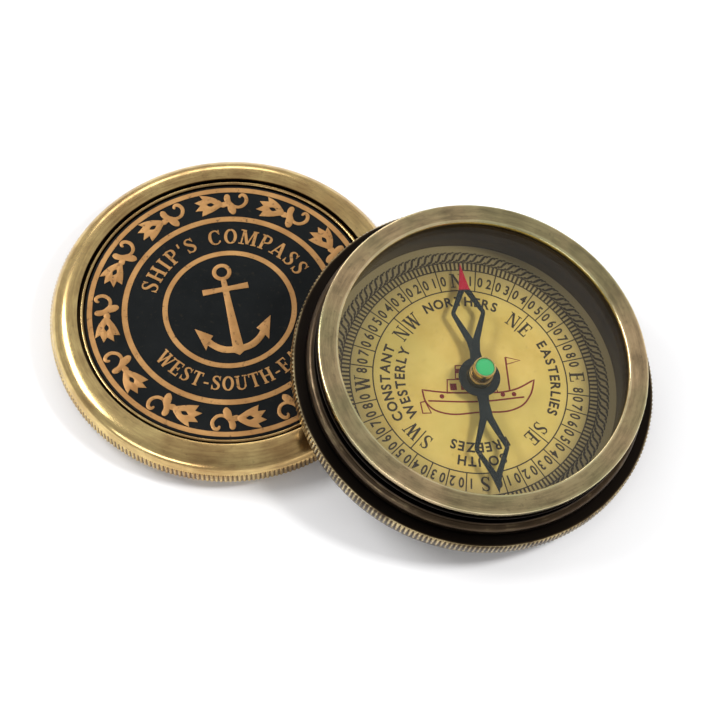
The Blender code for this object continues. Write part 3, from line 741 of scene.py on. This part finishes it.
# Pieces that stay as they were designed, hidden or nearly so: the plate under the card, the nut that
# holds the pivot, and the snap ring of drawn wire under the glass. They only take their metal here.
plain_brass = brass("plain_brass", CASE_PLACE, (0.12, 0.08, 0.035), (0.45, 0.33, 0.14), (0.60, 0.45, 0.18),
                    (0.8, 0.7, 0.6), 0.25, 0.4)
spring_wire = brass("spring_wire", CASE_PLACE, (0.05, 0.045, 0.04), (0.30, 0.29, 0.27), (0.50, 0.50, 0.48),
                    (0.8, 0.7, 0.6), 0.3, 0.4)


def dress(node, material):
    """Gives a CAD node its finish."""
    mesh = frame["nodes"][node].data
    mesh.materials.clear()
    mesh.materials.append(material)


for node in ("dial_plate", "pivot_nut"):
    dress(node, plain_brass)
dress("glass_snap_ring", spring_wire)

# The dial card: a disc of golden-yellow paper, printed and laid on the brass plate. It is stained in
# patches, darkened towards its rim with painted shade from the case's wall, and faintly fibrous.
DIAL_NORTH = 115.5  # degrees from the lean's direction to north on the card, anticlockwise
CARD_TOP = 3.05
DIAL_PLACE = (CASE_PLACE @ Matrix.Translation((0, 0, CARD_TOP * MM))
              @ Matrix.Rotation(math.radians(DIAL_NORTH - 90), 4, "Z"))
aged_paper, paper_shader, paper_vector, paper_tarnish = aged_material("aged_paper", DIAL_PLACE,
                                                                      {"Roughness": 0.6})
paper_tree = aged_paper.node_tree
paper_reach = add_node(paper_tree, "VectorMath", {0: paper_vector}, operation="LENGTH").outputs["Value"]
paper_colour = mix_colour(paper_tree, paper_tarnish["Cloud"], (0.53, 0.355, 0.070), (0.69, 0.515, 0.145))
for strength, shade in (
    (reckon(paper_tree, "MULTIPLY", paper_tarnish["Stain"], 0.65), (0.54, 0.43, 0.105)),
    # painted shade: darker towards the rim, where the case's wall shades the card
    (spread(paper_tree, paper_reach, 19.0 * MM, 28.0 * MM), (0.26, 0.205, 0.09)),
    (reckon(paper_tree, "MULTIPLY", paper_tarnish["Spots"], 0.30), (0.27, 0.16, 0.05)),
):
    paper_colour = mix_colour(paper_tree, strength, paper_colour, shade)
paper_tree.links.new(paper_colour, paper_shader.inputs["Base Color"])
roughen(paper_tree, paper_shader, paper_tarnish["Grain"], 0.25, 0.00003)
dress("dial_card", aged_paper)

# The dial's print, in dark brown ink: the scale of degrees from 0 at north and south to 90 at east and
# west, the letters, the ladder of two-degree bars and the rope border.
INK = 0.02  # mm
INK_GLOSS = {"Roughness": 0.5}
brown_ink = clouded("brown_ink", DIAL_PLACE, (0.016, 0.010, 0.005), (0.036, 0.023, 0.010), INK_GLOSS)
red_ink = clouded("red_ink", DIAL_PLACE, (0.13, 0.003, 0.006), (0.18, 0.008, 0.009), INK_GLOSS)


def print_ring(bm, inner, wide):
    """A printed circle line."""
    outer = inner + wide
    ring = turn([(inner, 0, 0), (outer, 0, 0), (outer, INK, 0), (inner, INK, 0)], FINE_STEPS)
    stamp(bm, mesh_of(ring), Matrix())


def print_bar(bm, bearing, inner, outer, wide, thick=INK):
    """A printed radial bar."""
    size = Matrix.Diagonal((wide * MM, (outer - inner) * MM, thick * MM, 1))
    bmesh.ops.create_cube(bm, size=1, matrix=spoke(bearing, (inner + outer) / 2, thick / 2) @ size)


SCALE_INNER = 20.5
SCALE_OUTER = 25.3
LADDER_OUTER = 27.1
RING_LINE = 0.27
BAR_LINE = 0.25
LADDER_LINE = 0.44
OVERLAP = 0.1  # how far a bar reaches into the circles at its ends
LETTER_HEIGHT = 3.2
FIGURES_RADIUS = 22.95
WINDS_RADIUS = 17.4
WINDS_FOOT = 15.4
FIGURE = {"height": 2.1, "radius": FIGURES_RADIUS, "thick": INK, "weight": 0.026, "narrow": 0.76}
FIGURE_STEP = 2.6  # degrees from a figure's bearing to each of its two digits
WIND_STEP = {"N": 5.6, "S": 5.0, "E": 5.0, "W": 6.8}  # degrees from a half wind's bearing to its letter
scale = bmesh.new()
for inner, wide in ((SCALE_INNER, RING_LINE), (SCALE_OUTER, RING_LINE), (LADDER_OUTER, BAR_LINE)):
    print_ring(scale, inner, wide)
for bearing in range(0, 360, 2):
    print_bar(scale, bearing, SCALE_OUTER + OVERLAP, LADDER_OUTER + OVERLAP, LADDER_LINE, INK * 0.8)
for bearing in range(0, 360, 10):
    if bearing % 90 == 0:
        continue
    print_bar(scale, bearing, SCALE_INNER + OVERLAP, SCALE_OUTER + OVERLAP, BAR_LINE, INK * 0.9)
    degrees = bearing % 180 if bearing % 180 < 90 else 180 - bearing % 180
    set_words(scale, str(degrees // 10), middle=bearing - FIGURE_STEP, **FIGURE)
    set_words(scale, "0", middle=bearing + FIGURE_STEP, **FIGURE)
for bearing, letter in ((0, "N"), (90, "E"), (180, "S"), (270, "W")):
    set_words(scale, letter, LETTER_HEIGHT, FIGURES_RADIUS, bearing, INK, serifs=True)
for bearing, pair in ((45, "NE"), (135, "SE"), (225, "SW"), (315, "NW")):
    print_bar(scale, bearing, WINDS_FOOT, SCALE_INNER + OVERLAP, BAR_LINE, INK * 0.9)
    for letter, side in zip(pair, (-1, 1)):
        set_words(scale, letter, LETTER_HEIGHT, WINDS_RADIUS, bearing + side * WIND_STEP[letter], INK,
                  serifs=True, narrow=0.9)
seat("dial_scale_print", scale, DIAL_PLACE, brown_ink, "case", crease=60)

WIND_WORDS = {0: ("NORTHERS",), 90: ("EASTERLIES",), 180: ("SOUTH", "BREEZES"), 270: ("CONSTANT", "WESTERLY")}
WORD_HEIGHT = 2.0
FIRST_LINE = 18.1
LINE_STEP = 3.1
winds = bmesh.new()
for bearing, lines in WIND_WORDS.items():
    for line, line_words in enumerate(lines):
        set_words(winds, line_words, WORD_HEIGHT, FIRST_LINE - LINE_STEP * line, bearing, INK, 0.03, gap=0.38,
                  narrow=0.95)
seat("dial_words_print", winds, DIAL_PLACE, brown_ink, "case", crease=60)

ROPE_STRANDS = 114
ROPE_RADIUS = 28.5
strand = cut_shape([ribbon([(-1.05, -1.0), (-0.5, -0.75), (0.0, 0.0), (0.5, 0.75), (1.05, 1.0)],
                           [0.12, 0.40, 0.50, 0.40, 0.12])], INK)
cheek = cut_shape([ribbon([(-0.75, 0.55), (-0.3, 0.98), (0.25, 1.08)], [0.12, 0.26, 0.12])], INK)
heel = cut_shape([ribbon([(0.75, -0.55), (0.3, -0.98), (-0.25, -1.08)], [0.12, 0.26, 0.12])], INK)
rope = bmesh.new()
for i in range(ROPE_STRANDS):
    for shape in (strand, cheek, heel):
        stamp(rope, shape, spoke(i * 360 / ROPE_STRANDS, ROPE_RADIUS))
seat("dial_rope_print", rope, DIAL_PLACE, brown_ink, "case", crease=60)

# The picture in the middle of the dial: a steam launch printed in thin red lines, with filled windows and
# portholes.
RED_LINE = 0.36
HULL = [
    (-11.6, -0.6), (-7.0, -1.3, True), (0.0, -1.6, True), (7.5, -1.3, True), (12.6, 0.9),
    (11.2, -2.6, True), (8.4, -5.2, True), (0.0, -6.0, True), (-8.6, -5.6, True), (-11.0, -3.6, True),
]
CABIN = [(-6.4, -1.5), (-6.0, 1.5), (3.6, 1.5), (4.4, -1.6)]
FUNNEL = [(-4.2, 1.7), (-3.9, 4.6), (-2.3, 4.6), (-2.2, 1.7)]
MAST = [(7.0, -1.2), (7.1, 6.2)]
PENNANT = [(7.2, 6.2), (10.2, 5.4), (7.2, 4.6)]
WALE = [(-10.6, -3.1), (0, -3.6, True), (9.9, -2.9)]
FUNNEL_BAND = [(-4.1, 2.9), (-4.0, 3.9), (-2.35, 3.9), (-2.3, 2.9)]
RUDDER = [(-11.3, -3.2), (-12.3, -3.4), (-12.1, -5.8), (-10.3, -5.8)]


def drawn_line(bm, points, closed=True):
    """A pen line through the points: a flattened round wire lying in the ink's thickness."""
    curve = bpy.data.curves.new("pen", "CURVE")
    curve.dimensions = "3D"
    curve.bevel_depth = RED_LINE / 2 * MM
    curve.bevel_resolution = 1
    curve.resolution_u = 8
    curve.use_fill_caps = True
    add_line(curve, points, closed)
    flatten = Matrix.Diagonal((1, 1, INK / RED_LINE, 1))
    stamp(bm, mesh_from(curve), Matrix.Translation((0, 0, INK / 2 * MM)) @ flatten)


launch = bmesh.new()
for outline in (HULL, CABIN, FUNNEL, PENNANT, RUDDER):
    drawn_line(launch, outline)
for line in (MAST, WALE):
    drawn_line(launch, line, False)
for x in (-4.9, -2.6, -0.3, 2.0):
    pane = [(x - 0.7, -0.9), (x + 0.7, -0.9), (x + 0.7, 0.6), (x - 0.7, 0.6)]
    stamp(launch, cut_shape([pane], INK), Matrix())
for x in (-7.6, 5.4, 7.8):
    stamp(launch, cut_shape([circle(x, -2.2, 0.5, 10)], INK), Matrix())
stamp(launch, cut_shape([FUNNEL_BAND], INK), Matrix())
bmesh.ops.remove_doubles(launch, verts=launch.verts, dist=0.0002 * MM)
LAUNCH_PLACE = DIAL_PLACE @ Matrix.Translation((1.0 * MM, -1.2 * MM, 0))
seat("dial_launch_print", launch, LAUNCH_PLACE, red_ink, "case", crease=60)

# The pivot: a brass post riveted through the card and the plate, with a hard steel point held in its bore.
# The needle's jewel stands on the point.
POST_PROFILE = [
    (0.0, 1.1, 0.3), (0.75, 1.1, 0.3), (0.75, 3.1, 0.3), (2.2, 3.1, 0.4), (2.2, 3.6, 0.8), (2.05, 3.8, 0.8),
    (1.2, 3.85, 0.3), (1.1, 3.95, 0.3), (1.1, 6.2, 0.8), (0.95, 6.4, 0.8), (0.3, 6.4, 0.3), (0.3, 4.0, 0.0),
    (0.0, 4.0, 0.0),
]
SMALL_STEPS = 48
seat("pivot_post_turned", turn(POST_PROFILE, SMALL_STEPS), PIVOT_PLACE, plain_brass, "case",
     ["pivot_post"])
point_steel = brass("point_steel", PIVOT_PLACE, (0.20, 0.20, 0.20), (0.50, 0.50, 0.51), (0.60, 0.60, 0.62),
                    (0.9, 0.9, 0.9), 0.15, 0.25)
PIN_PROFILE = [(0.0, 4.1, 0.5), (0.27, 4.1, 0.5), (0.27, 7.9, 0.7), (0.05, 8.6, 0.9), (0.0, 8.64, 0.9)]
seat("pivot_pin_ground", turn(PIN_PROFILE, 24), PIVOT_PLACE, point_steel, "case",
     ["pivot_pin"])

# The needle: stamped from sheet steel and blued nearly black, each half pierced to a lozenge. Its north
# tip is dipped in red paint. The edges are broken, so that they catch a thin line of light.
NEEDLE_BEARING = math.radians(117.2)
NEEDLE_PLACE = PIVOT_PLACE @ Matrix.Rotation(NEEDLE_BEARING - math.pi / 2, 4, "Z")
BLADE_LOW = 5.75
BLADE_THICK = 0.38
RED_FROM = 19.9
NECK = 1.25
RING_OUTER = 4.4
RING_INNER = 2.7
SPREAD = 3.62
ARM_WIDE = 0.9
HALVES = ((8.6, 14.6, 20.2, 26.0), (9.6, 15.8, 21.8, 25.5))  # where the arms part, spread, meet and end


def blade_half(part, widest, meet, end):
    """The outline of one half along +Y, and its opening."""
    foot = math.sqrt(RING_OUTER ** 2 - NECK ** 2)
    side = [(NECK, foot), (1.1, foot + 1.6), (1.4, part - 0.6), (SPREAD, widest - 0.35),
            (SPREAD, widest + 0.25), (1.12, meet)]
    opening = [(0.0, part), (SPREAD - ARM_WIDE, widest - 0.2), (SPREAD - ARM_WIDE, widest + 0.15),
               (0.0, meet - 0.6), (ARM_WIDE - SPREAD, widest + 0.15), (ARM_WIDE - SPREAD, widest - 0.2)]
    return side + [(0.0, end)] + [(-x, *rest) for x, *rest in reversed(side)], opening


def half_turn(points):
    """An outline turned half round, for the other half of the needle."""
    return [(-x, -y, *rest) for x, y, *rest in points]


north, north_opening = blade_half(*HALVES[0])
south, south_opening = blade_half(*HALVES[1])
neck_angle = math.asin(NECK / RING_OUTER)
side_arc = [(RING_OUTER * math.cos(a), RING_OUTER * math.sin(a))
            for a in (math.pi / 2 + neck_angle + (math.pi - 2 * neck_angle) * i / 20 for i in range(1, 20))]
blade_outline = north + side_arc + half_turn(south) + half_turn(side_arc)
blade = bmesh.new()
stamp(blade, cut_shape([blade_outline, circle(0, 0, RING_INNER, 24), north_opening, half_turn(south_opening)],
                       BLADE_THICK, 0.04), Matrix.Translation((0, 0, BLADE_LOW * MM)))
blued_steel, steel_shader, steel_vector, steel_tarnish = aged_material("blued_steel", NEEDLE_PLACE, {
    "Roughness": 0.42, "Specular IOR Level": 0.3})
steel_tree = blued_steel.node_tree
steel_parts = add_node(steel_tree, "SeparateXYZ", {0: steel_vector})
steel_edge = reckon(steel_tree, "MULTIPLY_ADD", steel_tarnish["Cloud"], 0.0006, steel_parts.outputs["Y"])
painted = spread(steel_tree, steel_edge, RED_FROM * MM, (RED_FROM + 0.35) * MM)
steel_colour = mix_colour(steel_tree, steel_tarnish["Cloud"], (0.007, 0.012, 0.013), (0.018, 0.026, 0.027))
steel_colour = mix_colour(steel_tree, steel_tarnish["Spots"], steel_colour, (0.085, 0.075, 0.055))
steel_colour = mix_colour(steel_tree, painted, steel_colour, (0.38, 0.008, 0.028))
steel_tree.links.new(steel_colour, steel_shader.inputs["Base Color"])
steel_tree.links.new(spread(steel_tree, painted, 0.0, 1.0, 0.35, 0.0), steel_shader.inputs["Metallic"])
seat("needle_blade_pierced", blade, NEEDLE_PLACE, blued_steel, "needle", ["needle_blade"],
     crease=25)

# The needle's collar and cap: the collar clips the blade to the cap, a small brass tube closed at the
# top with a dished head. The jewel inside it stands on the point, and the head is filled with enamel.
COLLAR_PROFILE = [(2.6, 5.0, 0.3), (3.5, 5.0, 0.4), (3.6, 5.1, 0.5), (3.6, 5.6, 0.6), (2.6, 5.7, 0.4)]
cap_brass = brass("cap_brass", NEEDLE_PLACE, (0.20, 0.12, 0.05), (0.58, 0.42, 0.16), (0.86, 0.70, 0.34),
                  (0.9, 0.82, 0.7), 0.16, 0.28, 0.1)
seat("needle_collar_turned", turn(COLLAR_PROFILE, SMALL_STEPS), NEEDLE_PLACE, cap_brass, "needle",
     ["needle_collar"])
CAP_PROFILE = [
    (0.0, 9.7, 0.2), (1.6, 9.7, 0.1), (1.6, 4.85, 0.2), (2.45, 4.8, 0.6), (2.57, 4.95, 0.8),
    (2.57, 7.6, 0.9), (2.5, 7.8, 0.5), (2.22, 7.9, 0.1), (2.2, 8.05, 0.2), (2.2, 9.9, 0.85),
    (2.34, 10.1, 0.9), (2.34, 10.8, 1.0), (2.25, 10.98, 1.0), (2.0, 11.0, 1.0), (1.92, 10.85, 0.4),
    (1.9, 10.4, 0.2), (0.0, 10.4, 0.2),
]
seat("needle_cap_turned", turn(CAP_PROFILE, SMALL_STEPS), NEEDLE_PLACE, cap_brass, "needle",
     ["needle_cap"])

agate, agate_shader = new_material("agate", {"Roughness": 0.12})
agate_tree = agate.node_tree
agate_vector = local_vector(agate_tree, NEEDLE_PLACE)
agate_bands = add_node(agate_tree, "TexWave", {"Vector": agate_vector, "Scale": 900.0, "Distortion": 4.0})
agate_colour = mix_colour(agate_tree, agate_bands.outputs["Fac"], (0.35, 0.08, 0.05), (0.55, 0.26, 0.18))
agate_tree.links.new(agate_colour, agate_shader.inputs["Base Color"])
JEWEL_PROFILE = [
    (0.0, 9.0, 0), (0.6, 8.5, 0), (1.3, 8.5, 0), (1.42, 8.6, 0), (1.42, 9.4, 0), (1.3, 9.5, 0),
    (0.0, 9.5, 0),
]
seat("cap_jewel_ground", turn(JEWEL_PROFILE, SMALL_STEPS), NEEDLE_PLACE, agate, "needle",
     ["cap_jewel"])

green_enamel = clouded("green_enamel", NEEDLE_PLACE, (0.020, 0.36, 0.105), (0.05, 0.50, 0.18),
                       {"Roughness": 0.14, "Coat Weight": 0.5})
ENAMEL_PROFILE = [
    (0.0, 10.45, 0), (1.88, 10.45, 0), (1.88, 10.8, 0), (1.5, 10.93, 0), (0.9, 10.99, 0), (0.0, 11.0, 0),
]
seat("cap_enamel_fired", turn(ENAMEL_PROFILE, SMALL_STEPS), NEEDLE_PLACE, green_enamel, "needle",
     ["cap_enamel"], crease=60)
